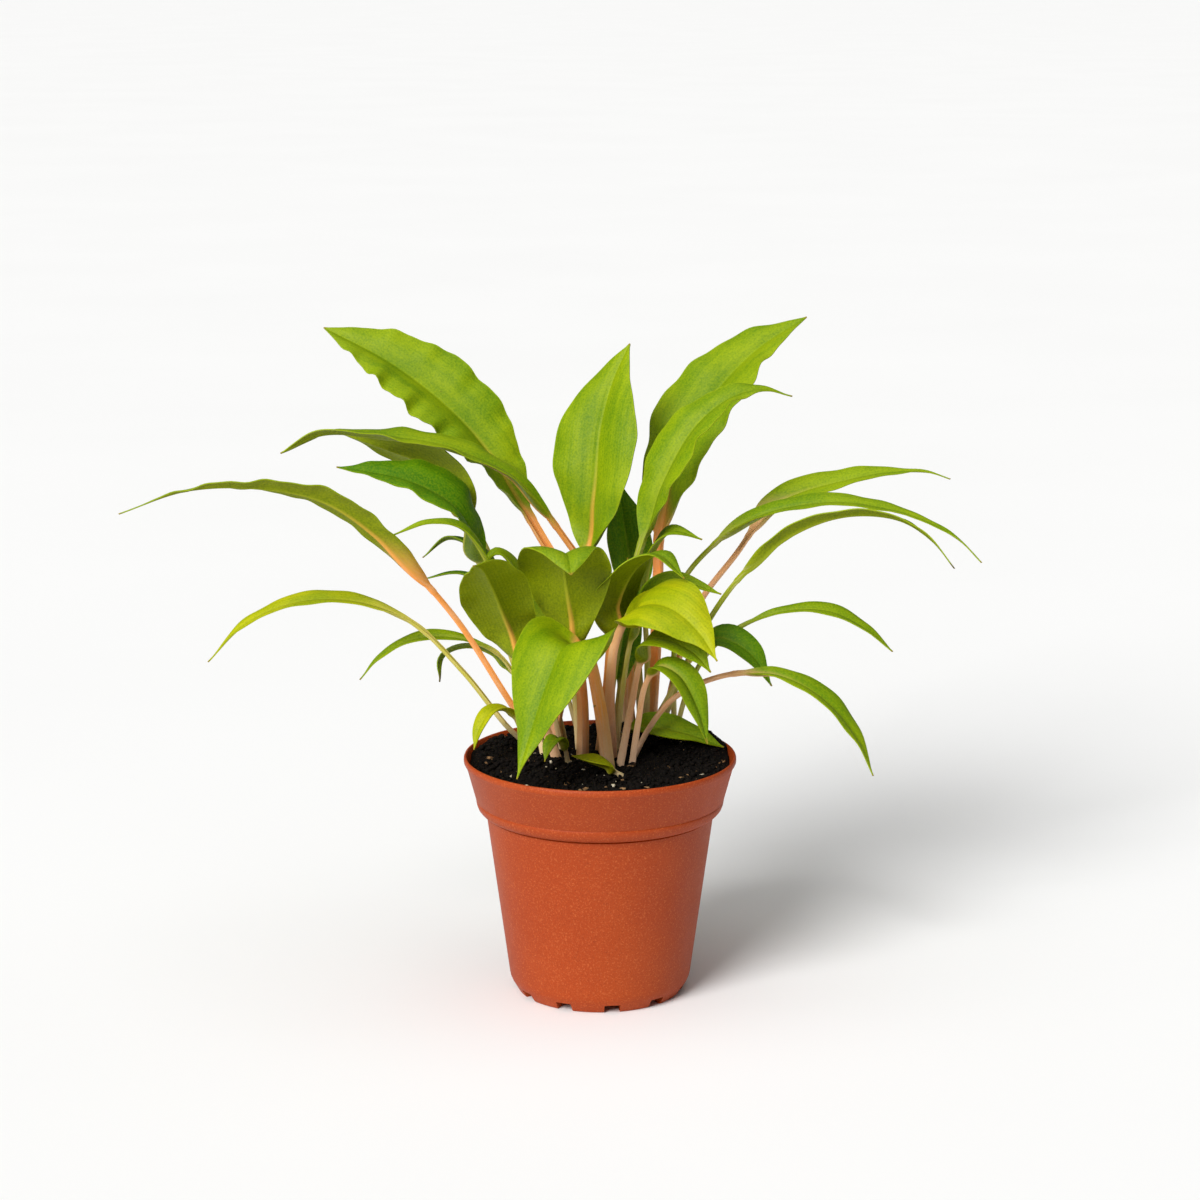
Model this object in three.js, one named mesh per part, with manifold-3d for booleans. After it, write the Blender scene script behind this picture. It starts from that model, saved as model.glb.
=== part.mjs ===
// A spider plant in a round nursery pot. Millimetres, +Z up.
// The origin is the centre of the pot's foot, on the surface that the pot stands on. -Y is the front.
// The pot, the potting mix and each leaf are separate solids. A leaf and its stalk grew as one piece.
import * as THREE from "three";
import { mergeVertices } from "three/addons/utils/BufferGeometryUtils.js";
import Module from "manifold-3d";

const wasm = await Module();
wasm.setup();

// ---- driving dimensions ----
const POT_HEIGHT = 97;
const RIM_RADIUS = 54.4;
const BAND_BOTTOM_Z = 74; // the wide band under the rim ends here
const BAND_BOTTOM_RADIUS = 49.6;
const BODY_TOP_RADIUS = 45.4;
const BODY_BOTTOM_RADIUS = 36.6;
const FOOT_RADIUS = 33.2;
const FOOT_HEIGHT = 4;
const PAD_RADIUS = 8; // the middle of the underside reaches down as far as the foot ring
const WALL = 1.1;
const NOTCHES = 11; // gaps in the foot ring, which let water out
const NOTCH_WIDTH = 6.4;
const DRAIN_HOLES = 8;
const DRAIN_HOLE_RADIUS = 3;
const DRAIN_CIRCLE_RADIUS = 20;
const GAP = 0.35; // clearance between touching solids

const group = new THREE.Group();

// ---- helpers ----
function solidOf(geometry) {
  const bare = geometry.clone();
  bare.deleteAttribute("normal");
  bare.deleteAttribute("uv");
  const merged = mergeVertices(bare, 1e-4);
  return new wasm.Manifold(
    new wasm.Mesh({
      numProp: 3,
      vertProperties: merged.attributes.position.array,
      triVerts: new Uint32Array(merged.index.array),
    }),
  );
}

function geometryOf(solid) {
  const mesh = solid.getMesh();
  const geometry = new THREE.BufferGeometry();
  geometry.setAttribute("position", new THREE.BufferAttribute(mesh.vertProperties, 3));
  geometry.setIndex(new THREE.BufferAttribute(mesh.triVerts, 1));
  return geometry;
}

// A closed profile of [radius, z] points, anticlockwise with the radius to the right, turned about Z.
function turned(profile, segments) {
  const points = profile.map(([r, z]) => new THREE.Vector2(r, z));
  const closed = profile[0][0] > 0 ? [...points, points[0]] : points;
  return new THREE.LatheGeometry(closed, segments).rotateX(Math.PI / 2);
}

function addNode(name, geometry, colour, roughness) {
  const material = new THREE.MeshStandardMaterial({ color: colour, roughness, metalness: 0 });
  const mesh = new THREE.Mesh(geometry, material);
  mesh.name = name;
  group.add(mesh);
}

// ---- pot ----
const POT_SEGMENTS = 66;
// The wall's inner face, from the floor of the pot to its mouth. The potting mix follows it.
const POT_INSIDE = [
  [FOOT_RADIUS - 0.6, FOOT_HEIGHT + WALL],
  [BODY_BOTTOM_RADIUS - WALL, 9],
  [BODY_TOP_RADIUS - WALL, BAND_BOTTOM_Z - 0.6],
  [BAND_BOTTOM_RADIUS - WALL - 0.6, BAND_BOTTOM_Z + 4.6],
  [RIM_RADIUS - WALL - 0.5, POT_HEIGHT - 2.5],
];

function potGeometry() {
  const outside = [
    [RIM_RADIUS - WALL, POT_HEIGHT - 0.3],
    [RIM_RADIUS - 0.6, POT_HEIGHT],
    [RIM_RADIUS, POT_HEIGHT - 0.8],
    [RIM_RADIUS, POT_HEIGHT - 2.2],
    [RIM_RADIUS - 0.9, POT_HEIGHT - 3.2],
    [BAND_BOTTOM_RADIUS, BAND_BOTTOM_Z + 5],
    [BAND_BOTTOM_RADIUS - 0.7, BAND_BOTTOM_Z + 3.2],
    [BODY_TOP_RADIUS + 1.4, BAND_BOTTOM_Z],
    [BODY_TOP_RADIUS, BAND_BOTTOM_Z - 0.8],
    [BODY_BOTTOM_RADIUS, 7.5],
    [BODY_BOTTOM_RADIUS - 1, 4.2],
    [FOOT_RADIUS + 0.6, 1.2],
    [FOOT_RADIUS - 0.4, 0],
    [FOOT_RADIUS - 3.2, 0],
    [FOOT_RADIUS - 4, FOOT_HEIGHT],
    [PAD_RADIUS + 0.6, FOOT_HEIGHT],
    [PAD_RADIUS, 0],
    [0, 0],
  ];
  const profile = [...outside].reverse().concat([...POT_INSIDE].reverse(), [[0, FOOT_HEIGHT + WALL]]);
  let solid = solidOf(turned(profile, POT_SEGMENTS));
  for (let i = 0; i < NOTCHES; i += 1) {
    const angle = (i + 0.25) * ((2 * Math.PI) / NOTCHES) - Math.PI / 2;
    const notch = new THREE.BoxGeometry(12, NOTCH_WIDTH, 2 * (FOOT_HEIGHT - 0.5));
    notch.translate(FOOT_RADIUS, 0, 0).rotateZ(angle);
    solid = solid.subtract(solidOf(notch));
  }
  for (let i = 0; i < DRAIN_HOLES; i += 1) {
    const angle = (i * 2 * Math.PI) / DRAIN_HOLES;
    const hole = new THREE.CylinderGeometry(DRAIN_HOLE_RADIUS, DRAIN_HOLE_RADIUS, 8, 12).rotateX(Math.PI / 2);
    hole.translate(DRAIN_CIRCLE_RADIUS * Math.cos(angle), DRAIN_CIRCLE_RADIUS * Math.sin(angle), FOOT_HEIGHT);
    solid = solid.subtract(solidOf(hole));
  }
  return geometryOf(solid);
}

// ---- potting mix ----
const SOIL_EDGE_Z = 92.6; // at the sides, with the front lower and the back higher
const SOIL_SLOPE = 0.04;
const SOIL_RINGS = 9;
const SOIL_SEGMENTS = 40;
// The plug of old mix stands proud round the crowns, and some is heaped against the back right of the rim.
const MOUNDS = [
  { x: 21, y: 34, height: 5.5, spread: 12 },
  { x: -4, y: 12, height: 3, spread: 20 },
  { x: 44, y: 18, height: 6, spread: 6 },
  { x: -40, y: 20, height: 2.5, spread: 12 },
];

function soilHeight(x, y) {
  let z = SOIL_EDGE_Z + SOIL_SLOPE * y;
  for (const m of MOUNDS) {
    const away = ((x - m.x) ** 2 + (y - m.y) ** 2) / (2 * m.spread ** 2);
    z += m.height * Math.exp(-away);
  }
  return z + 0.5 * Math.sin(0.31 * x + 1) * Math.cos(0.27 * y) + 0.3 * Math.sin(0.83 * x - 0.6 * y);
}

// The inner radius of the wide band at height z.
function bandInside(z) {
  const [shoulder, mouth] = POT_INSIDE.slice(-2);
  return THREE.MathUtils.mapLinear(z, shoulder[1], mouth[1], shoulder[0], mouth[0]);
}

// Closed body: rings up the side of the pot and then in over the uneven top, which ends in a point.
function soilGeometry() {
  const brinkZ = SOIL_EDGE_Z - 3.6;
  const side = [...POT_INSIDE.slice(0, -1), [bandInside(brinkZ), brinkZ]];
  const rings = side.map(([r, z], i) => ringOf((a) => [...around(r - GAP, a), i === 0 ? z + GAP : z]));
  const topRadius = bandInside(SOIL_EDGE_Z) - GAP;
  for (let k = 0; k < SOIL_RINGS; k += 1) {
    const r = topRadius * (1 - k / SOIL_RINGS);
    rings.push(
      ringOf((a) => {
        const z = soilHeight(...around(r, a));
        return [...around(k === 0 ? bandInside(z) - GAP - 0.1 : r, a), z];
      }),
    );
  }
  return skin(rings, [0, 0, rings[0][0][2]], [0, 0, soilHeight(0, 0)]);
}

function around(radius, angle) {
  return [radius * Math.cos(angle), radius * Math.sin(angle)];
}

function ringOf(pointAt) {
  return Array.from({ length: SOIL_SEGMENTS }, (_, i) => pointAt((i * 2 * Math.PI) / SOIL_SEGMENTS));
}

// A closed surface over rows of points, with a point capping each end.
// The rows are of one length, and run anticlockwise seen from the end.
function skin(rows, start, end) {
  const n = rows[0].length;
  const positions = [start, ...rows.flat(), end].flat();
  const last = 1 + rows.length * n;
  const index = [];
  for (let j = 0; j < n; j += 1) {
    const k = (j + 1) % n;
    index.push(0, 1 + k, 1 + j);
    for (let i = 0; i < rows.length - 1; i += 1) {
      const a = 1 + i * n + j;
      const b = 1 + i * n + k;
      index.push(a, b, b + n, a, b + n, a + n);
    }
    index.push(last - n + j, last - n + k, last);
  }
  const geometry = new THREE.BufferGeometry();
  geometry.setAttribute("position", new THREE.Float32BufferAttribute(positions, 3));
  geometry.setIndex(index);
  return geometry;
}

// ---- leaves ----
const NECK_LEAST = 0.55; // half width of the stalk where the blade begins, on the narrowest leaf
const NECK_GROWTH = 0.042; // and how much it gains for each millimetre of the blade's width
const FOOT_FLARE = 1.25; // how much wider the stalk is where it clasps the crown
const BLADE_THICKNESS = 0.8;
const STATION_SPACING = 13;
const FOOT_CLEARANCE = 0.9; // above the potting mix, which is uneven

const GREEN = 0x7ba018;
const YELLOW_GREEN = 0xa4b41e;
const OLIVE = 0x7f8a18;
const DARK_GREEN = 0x4c7d14;

const radians = (degrees) => (degrees * Math.PI) / 180;

// Half the width of the leaf at share t of its length: a stalk that narrows upwards, then a lance-shaped blade.
function halfWidth(t, { width, stalk, widest, full }) {
  const neck = NECK_LEAST + NECK_GROWTH * width;
  if (t <= stalk) return neck * THREE.MathUtils.lerp(FOOT_FLARE, 1, t / stalk);
  const s = (t - stalk) / (1 - stalk);
  const rise = (s / widest) ** (full * widest);
  const fall = ((1 - s) / (1 - widest)) ** (full * (1 - widest));
  return Math.max((width / 2) * rise * fall, neck * (1 - s) + 0.25);
}

// The value at share s of a list of evenly spaced values.
function along(values, s) {
  const place = s * (values.length - 1);
  const i = Math.min(Math.floor(place), values.length - 2);
  return THREE.MathUtils.lerp(values[i], values[i + 1], place - i);
}

// foot: where it leaves the potting mix, as x and y.
// path: midrib points from there to the tip.
// width: of the blade, flattened.
// stalk: share of the leaf's length that has no blade.
// widest: share of the blade's length at which it is widest.
// full: the higher, the more the blade tapers to its ends.
// fold: degrees that each half is raised.
// roll: degrees that the blade turns about its midrib, at even steps from the stalk to the tip.
function leafGeometry(leaf) {
  const { foot, path, width, stalk = 0.45, widest = 0.42, full = 2.2, roll = [0, 0], fold = 18 } = leaf;
  const start = [...foot, soilHeight(...foot) + FOOT_CLEARANCE];
  const points = [start, ...path].map((p) => new THREE.Vector3(...p));
  const curve = new THREE.CatmullRomCurve3(points, false, "centripetal");
  const steps = Math.max(8, Math.round(curve.getLength() / STATION_SPACING));
  const general = curve.getPoint(1).sub(curve.getPoint(0)).setZ(0).normalize();
  const rows = [];
  const up = new THREE.Vector3(0, 0, 1);
  for (let i = 0; i <= steps; i += 1) {
    const t = Math.min(i / steps, 0.99);
    const centre = curve.getPointAt(t);
    const tangent = curve.getTangentAt(t);
    const heading = new THREE.Vector3(tangent.x, tangent.y, 0).addScaledVector(general, 0.8);
    const side = heading.cross(up).addScaledVector(tangent, -heading.dot(tangent)).normalize();
    const normal = side.clone().cross(tangent).normalize();
    const s = Math.max(0, (t - stalk) / (1 - stalk));
    const turn = radians(along(roll, s) * Math.min(1, t / stalk));
    const across = side.clone().multiplyScalar(Math.cos(turn)).addScaledVector(normal, -Math.sin(turn));
    const out = normal.clone().multiplyScalar(Math.cos(turn)).addScaledVector(side, Math.sin(turn));
    const half = halfWidth(t, { width, stalk, widest, full });
    const flat = t < stalk ? 0 : Math.min(1, s * 4); // 0 on the stalk, 1 on the blade
    const depth = THREE.MathUtils.lerp(1.3 * half, 1.1 * BLADE_THICKNESS, flat);
    const web = THREE.MathUtils.lerp(0.85 * depth, BLADE_THICKNESS, flat);
    const lift = half * Math.sin(radians(fold)) * (0.4 + 0.6 * flat);
    const reach = half * Math.cos(radians(fold));
    const section = [
      [0, 0],
      [reach, lift],
      [reach / 2, lift / 2 - web],
      [0, -depth],
      [-reach / 2, lift / 2 - web],
      [-reach, lift],
    ];
    rows.push(
      section.map(([u, v]) => centre.clone().addScaledVector(across, u).addScaledVector(out, v).toArray()),
    );
  }
  for (const point of rows[0]) {
    point[2] = points[0].z;
  }
  const middle = (row) => row.reduce((sum, p) => sum.map((v, k) => v + p[k] / row.length), [0, 0, 0]);
  return skin(rows, middle(rows[0]), curve.getPoint(1).toArray());
}

// Leaves are named by where they stand and how they grow. Each path runs from the leaf's foot to its tip.
const LEAVES = {
  back_left_tall: {
    foot: [13, 40],
    path: [
      [8, 43, 130], [-19, 46, 168], [-38, 52, 199], [-56, 58, 222], [-84, 66, 244], [-114, 74, 259],
    ],
    width: 37, stalk: 0.44, widest: 0.52, roll: [-25, -40, -35], fold: 26,
  },
  left_long: {
    foot: [13, 33],
    path: [
      [11, 36, 142], [-10, 33, 173], [-33, 30, 202], [-61, 27, 216], [-87, 24, 221], [-110, 20, 223],
      [-127, 17, 216],
    ],
    width: 21, stalk: 0.42, widest: 0.5, roll: [-16, -12, -8, -6, 10, 50],
  },
  left_behind: {
    foot: [-19, 31],
    path: [
      [-27, 33, 128], [-42, 34, 165], [-58, 36, 195], [-69, 38, 207], [-84, 40, 213], [-104, 41, 220],
    ],
    width: 26, stalk: 0.6, widest: 0.34, roll: [45, 50, 50],
  },
  left_broad: {
    foot: [-24, 20],
    path: [
      [-31, 17, 122], [-40, 15, 151], [-49, 14, 178], [-59, 12, 196], [-76, 11, 206], [-104, 9, 212],
    ],
    width: 30, stalk: 0.5, widest: 0.42, roll: [-15, -22, -18], tint: DARK_GREEN,
  },
  left_longest: {
    foot: [-25, 14],
    path: [
      [-38, 8, 120], [-58, -1, 154], [-81, -11, 182], [-106, -20, 203], [-132, -27, 210],
      [-158, -33, 210], [-183, -38, 202],
    ],
    width: 15, stalk: 0.36, widest: 0.36, full: 3, roll: [38, 34, 15], tint: OLIVE,
  },
  left_yellow: {
    foot: [-29, 15],
    path: [
      [-37, 13, 105], [-55, 13, 128], [-76, 12, 149], [-98, 11, 157], [-120, 10, 157], [-142, 9, 148],
      [-157, 8, 133],
    ],
    width: 12, stalk: 0.38, widest: 0.5, full: 3, roll: [-16, -10], tint: YELLOW_GREEN,
  },
  left_arch: {
    foot: [-29, 22],
    path: [
      [-32, 23, 118], [-42, 24, 133], [-58, 25, 139], [-76, 26, 138], [-90, 27, 130], [-98, 27, 121],
    ],
    width: 8, stalk: 0.38, widest: 0.5, full: 3, roll: [-22, -15],
  },
  left_curled: {
    foot: [-24, 31],
    path: [[-31, 32, 116], [-42, 34, 129], [-54, 35, 133], [-64, 35, 129], [-66, 35, 118]],
    width: 11, stalk: 0.4, roll: [10, 20], tint: DARK_GREEN,
  },
  centre_left_upright: {
    foot: [-18, 2],
    path: [
      [-26, -2, 120], [-33, -7, 143], [-38, -15, 158], [-42, -25, 171], [-45, -36, 180],
      [-48, -48, 184],
    ],
    width: 28, stalk: 0.36, widest: 0.46, roll: [30, 35, 30], fold: 12, tint: OLIVE,
  },
  centre_front_upright: {
    foot: [-7, -1],
    path: [
      [-7, -4, 118], [-9, -8, 140], [-12, -11, 160], [-14, -15, 175], [-14, -22, 183], [-12, -30, 184],
      [-11, -37, 178],
    ],
    width: 36, stalk: 0.4, widest: 0.56, full: 2.4, roll: [0, 0], fold: 10, tint: OLIVE
  },
  centre_right_upright: {
    foot: [0, 7],
    path: [[3, 6, 125], [5, 1, 148], [9, -4, 165], [15, -9, 176], [23, -14, 181], [33, -20, 173]],
    width: 27, stalk: 0.44, widest: 0.4, roll: [0, 0], fold: 12, tint: OLIVE,
  },
  front_broad: {
    foot: [3, -8],
    path: [
      [0, -10, 118], [-4, -14, 139], [-8, -21, 150], [-14, -30, 149], [-20, -38, 137], [-27, -45, 117],
      [-32, -51, 101],
    ],
    width: 42, stalk: 0.44, widest: 0.22, full: 1.9, roll: [0, 0], fold: 5,
  },
  right_yellow: {
    foot: [5, 1],
    path: [
      [4, -1, 122], [6, -6, 145], [12, -13, 158], [20, -20, 163], [29, -28, 162], [38, -35, 155],
      [45, -41, 145],
    ],
    width: 30, stalk: 0.5, widest: 0.36, roll: [25, 32], fold: 4, tint: YELLOW_GREEN,
  },
  right_pointed: {
    foot: [6, 8],
    path: [[9, 8, 125], [14, 6, 150], [21, 4, 163], [33, 1, 167], [48, -2, 163]],
    width: 15, stalk: 0.45, roll: [20, 20],
  },
  right_lower: {
    foot: [8, -5],
    path: [
      [12, -6, 118], [16, -8, 138], [21, -13, 147], [28, -19, 148], [37, -25, 144], [43, -30, 138],
    ],
    width: 19, stalk: 0.48, roll: [20, 20],
  },
  right_olive_arch: {
    foot: [13, -4],
    path: [
      [15, -9, 112], [18, -14, 130], [23, -19, 138], [31, -23, 135], [38, -27, 123], [42, -29, 109],
    ],
    width: 14, stalk: 0.46, roll: [15, 15], tint: OLIVE,
  },
  right_dark: {
    foot: [21, 28],
    path: [[26, 24, 112], [36, 19, 131], [48, 15, 141], [60, 11, 136], [69, 8, 123]],
    width: 15, stalk: 0.45, roll: [25, 25], tint: DARK_GREEN,
  },
  right_low_long: {
    foot: [13, 2],
    path: [
      [19, 2, 107], [28, 1, 119], [40, -2, 127], [56, -6, 132], [73, -10, 131], [89, -13, 122],
      [101, -16, 108], [108, -18, 93],
    ],
    width: 14, stalk: 0.42, widest: 0.5, full: 2.8, roll: [12, 12],
  },
  right_arch: {
    foot: [30, 24],
    path: [
      [36, 27, 118], [44, 29, 132], [58, 30, 143], [75, 30, 149], [93, 29, 149], [108, 27, 142],
      [119, 26, 133],
    ],
    width: 10, stalk: 0.4, widest: 0.6, full: 3, roll: [18, 14],
  },
  right_upper_long: {
    foot: [30, 36],
    path: [
      [30, 40, 130], [33, 39, 158], [46, 37, 175], [57, 36, 184], [69, 34, 189], [84, 32, 192.5],
      [100, 30, 193.5], [116, 29, 191], [130, 28, 187], [145, 26, 179], [154, 25, 170],
    ],
    width: 13, stalk: 0.4, widest: 0.36, full: 2.6, roll: [18, 8],
  },
  right_upper_back: {
    foot: [26, 38],
    path: [
      [33, 44, 128], [41, 46, 149], [56, 48, 169], [70, 50, 188], [82, 51, 194], [101, 52, 199],
      [118, 53, 202], [135, 54, 202], [144, 55, 199],
    ],
    width: 16, stalk: 0.48, widest: 0.36, full: 2.8, roll: [28, 20, 8],
  },
  right_upper_front: {
    foot: [25, 32],
    path: [
      [33, 31, 122], [44, 26, 146], [58, 20, 167], [78, 12, 185], [98, 6, 193], [118, 2, 192],
      [131, 0, 184], [140, -1, 173],
    ],
    width: 13, stalk: 0.4, widest: 0.4, full: 2.8, roll: [-30, -10],
  },
  back_right_tall: {
    foot: [21, 41],
    path: [
      [23, 46, 130], [24, 50, 158], [25, 54, 180], [32, 61, 205], [46, 71, 230], [64, 80, 248],
      [86, 86, 262],
    ],
    width: 39, stalk: 0.38, widest: 0.5, roll: [10, 15],
  },
  right_tall: {
    foot: [1, 13],
    path: [
      [4, 14, 120], [9, 15, 150], [16, 16, 178], [25, 19, 204], [38, 23, 226], [52, 26, 237],
      [64, 28, 240], [77, 30, 237],
    ],
    width: 25, stalk: 0.46, widest: 0.42, full: 2.8, roll: [20, 20],
  },
  centre_tall: {
    foot: [-20, 14],
    path: [
      [-14, 20, 125], [-9, 24, 152], [-5, 29, 176], [-2, 33, 200], [0, 40, 222], [5, 48, 240],
      [12, 54, 255],
    ],
    width: 38, stalk: 0.46, widest: 0.48, roll: [0, 0], fold: 10,
  },
  back_dark: {
    foot: [17, 38],
    path: [[15, 42, 130], [13, 49, 160], [10, 54, 180], [7, 58, 199]],
    width: 22, stalk: 0.5, roll: [0, 0], tint: DARK_GREEN,
  },
  right_small_arch: {
    foot: [19, 32],
    path: [[19, 30, 130], [18, 27, 158], [22, 23, 176], [29, 20, 184], [41, 18, 181]],
    width: 13, stalk: 0.5, roll: [20, 20],
  },
  left_small_grey: {
    foot: [-23, 6],
    path: [
      [-27, 7, 120], [-34, 5, 148], [-43, -1, 173], [-54, -5, 190], [-67, -9, 193], [-83, -13, 188],
    ],
    width: 8, stalk: 0.5, full: 3, roll: [-15, -15],
  },
  left_small_hanging: {
    foot: [-14, 22],
    path: [[-22, 21, 130], [-37, 21, 160], [-51, 26, 176], [-61, 30, 179], [-72, 31, 171]],
    width: 13, stalk: 0.5, roll: [10, 10], tint: DARK_GREEN,
  },
  left_thin: {
    foot: [-9, 35],
    path: [[-18, 39, 125], [-36, 41, 148], [-56, 42, 162], [-73, 41, 160]],
    width: 7, stalk: 0.5, roll: [0, 0], tint: DARK_GREEN,
  },
  left_folded: {
    foot: [-15, 10],
    path: [[-21, 12, 125], [-28, 13, 150], [-34, 11, 170], [-41, 7, 178], [-48, 5, 172]],
    width: 13, stalk: 0.5, roll: [-20, -20],
  },
  rim_left: {
    foot: [-29, 7],
    path: [[-31, 4, 104], [-36, 0, 115], [-43, -5, 116], [-48, -9, 110], [-50, -12, 102]],
    width: 9, stalk: 0.35, roll: [0, 0], tint: YELLOW_GREEN,
  },
  lying_right: {
    foot: [8, 24],
    path: [[10, 19, 101], [15, 15, 104.5], [28, 12, 104], [40, 11, 101], [50, 9, 97.5]],
    width: 16, stalk: 0.15, roll: [22, 20],
  },
  front_small_yellow: {
    foot: [8, -17],
    path: [[4, -18, 96], [-3, -18, 98.5], [-11, -16, 101]],
    width: 12, stalk: 0.1, roll: [0, 0], fold: 25, tint: YELLOW_GREEN,
  },
  front_small_olive: {
    foot: [-13, -4],
    path: [[-14, -6, 101], [-17, -9, 106], [-20, -12, 104], [-22, -15, 98]],
    width: 8, stalk: 0.2, roll: [0, 0], tint: OLIVE,
  },
  inner_dark: {
    foot: [6, 17],
    path: [[8, 18, 118], [11, 20, 138], [12, 22, 155], [11, 25, 172]],
    width: 15, stalk: 0.3, roll: [0, 0], tint: DARK_GREEN,
  },
  inner_left_dark: {
    foot: [-8, 10],
    path: [[-10, 11, 120], [-14, 10, 142], [-19, 6, 158], [-24, 0, 172]],
    width: 22, stalk: 0.34, roll: [0, 0], tint: DARK_GREEN,
  },
  back_middle: {
    foot: [9, 44],
    path: [[8, 56, 130], [3, 74, 146], [-5, 90, 148], [-11, 104, 136]],
    width: 24, stalk: 0.35, roll: [0, 0],
  },
  back_left: {
    foot: [-16, 35],
    path: [[-22, 43, 120], [-28, 58, 140], [-33, 74, 144], [-37, 89, 137]],
    width: 24, stalk: 0.35, roll: [0, 0],
  },
};

addNode("nursery_pot", potGeometry(), 0xb5502a, 0.55);
addNode("potting_mix", soilGeometry(), 0x17120f, 0.95);
for (const [name, leaf] of Object.entries(LEAVES)) {
  addNode("leaf_" + name, leafGeometry(leaf), leaf.tint ?? GREEN, 0.5);
}

export default group;
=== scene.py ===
"""A spider plant in a round nursery pot: the visual model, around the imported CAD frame.

Lengths in the tables are in millimetres, and everything given to Blender is in metres.
"""

import math

import bpy
import numpy as np
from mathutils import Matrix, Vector, noise


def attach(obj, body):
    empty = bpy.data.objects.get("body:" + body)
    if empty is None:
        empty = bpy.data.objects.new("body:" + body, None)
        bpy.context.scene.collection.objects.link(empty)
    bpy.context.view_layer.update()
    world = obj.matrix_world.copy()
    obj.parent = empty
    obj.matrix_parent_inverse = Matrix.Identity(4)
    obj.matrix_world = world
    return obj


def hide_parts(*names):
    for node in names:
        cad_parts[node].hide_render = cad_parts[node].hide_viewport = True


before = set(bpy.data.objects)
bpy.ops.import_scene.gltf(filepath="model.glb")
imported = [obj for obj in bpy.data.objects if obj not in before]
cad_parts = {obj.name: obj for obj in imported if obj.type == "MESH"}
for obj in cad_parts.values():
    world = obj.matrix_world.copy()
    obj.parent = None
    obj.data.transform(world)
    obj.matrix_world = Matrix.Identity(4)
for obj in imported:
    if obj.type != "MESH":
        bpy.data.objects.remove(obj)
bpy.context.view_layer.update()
MM = 0.001


# ---- camera and light ----

def aim(obj, target):
    """Turns a camera or light so that it looks at a point."""
    obj.rotation_euler = (Vector(target) - obj.location).to_track_quat("-Z", "Y").to_euler()


CAMERA_PLACE = (0, -1.150, 0.412)
CAMERA_TARGET = (0, 0, 0.160)
LENS = 89.36


def make_camera():
    camera = bpy.data.objects.new("camera", bpy.data.cameras.new("camera"))
    camera.data.lens = LENS
    camera.data.sensor_width = 36
    camera.location = CAMERA_PLACE
    aim(camera, CAMERA_TARGET)
    bpy.context.collection.objects.link(camera)
    bpy.context.scene.camera = camera


def make_sun(name, azimuth, elevation, strength, spread):
    """A far light. azimuth is from -Y towards +X, and all the angles are in degrees."""
    data = bpy.data.lights.new(name, "SUN")
    data.energy = strength
    data.angle = math.radians(spread)
    light = bpy.data.objects.new(name, data)
    a, e = math.radians(azimuth), math.radians(elevation)
    light.location = (math.cos(e) * math.sin(a), -math.cos(e) * math.cos(a), math.sin(e))
    aim(light, (0, 0, 0))
    bpy.context.collection.objects.link(light)


# ---- node helpers ----

def linear(red, green, blue):
    """An 8-bit sRGB colour as linear RGBA."""
    parts = [c / 255 for c in (red, green, blue)]
    return tuple(c / 12.92 if c <= 0.04045 else ((c + 0.055) / 1.055) ** 2.4 for c in parts) + (1,)


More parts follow.
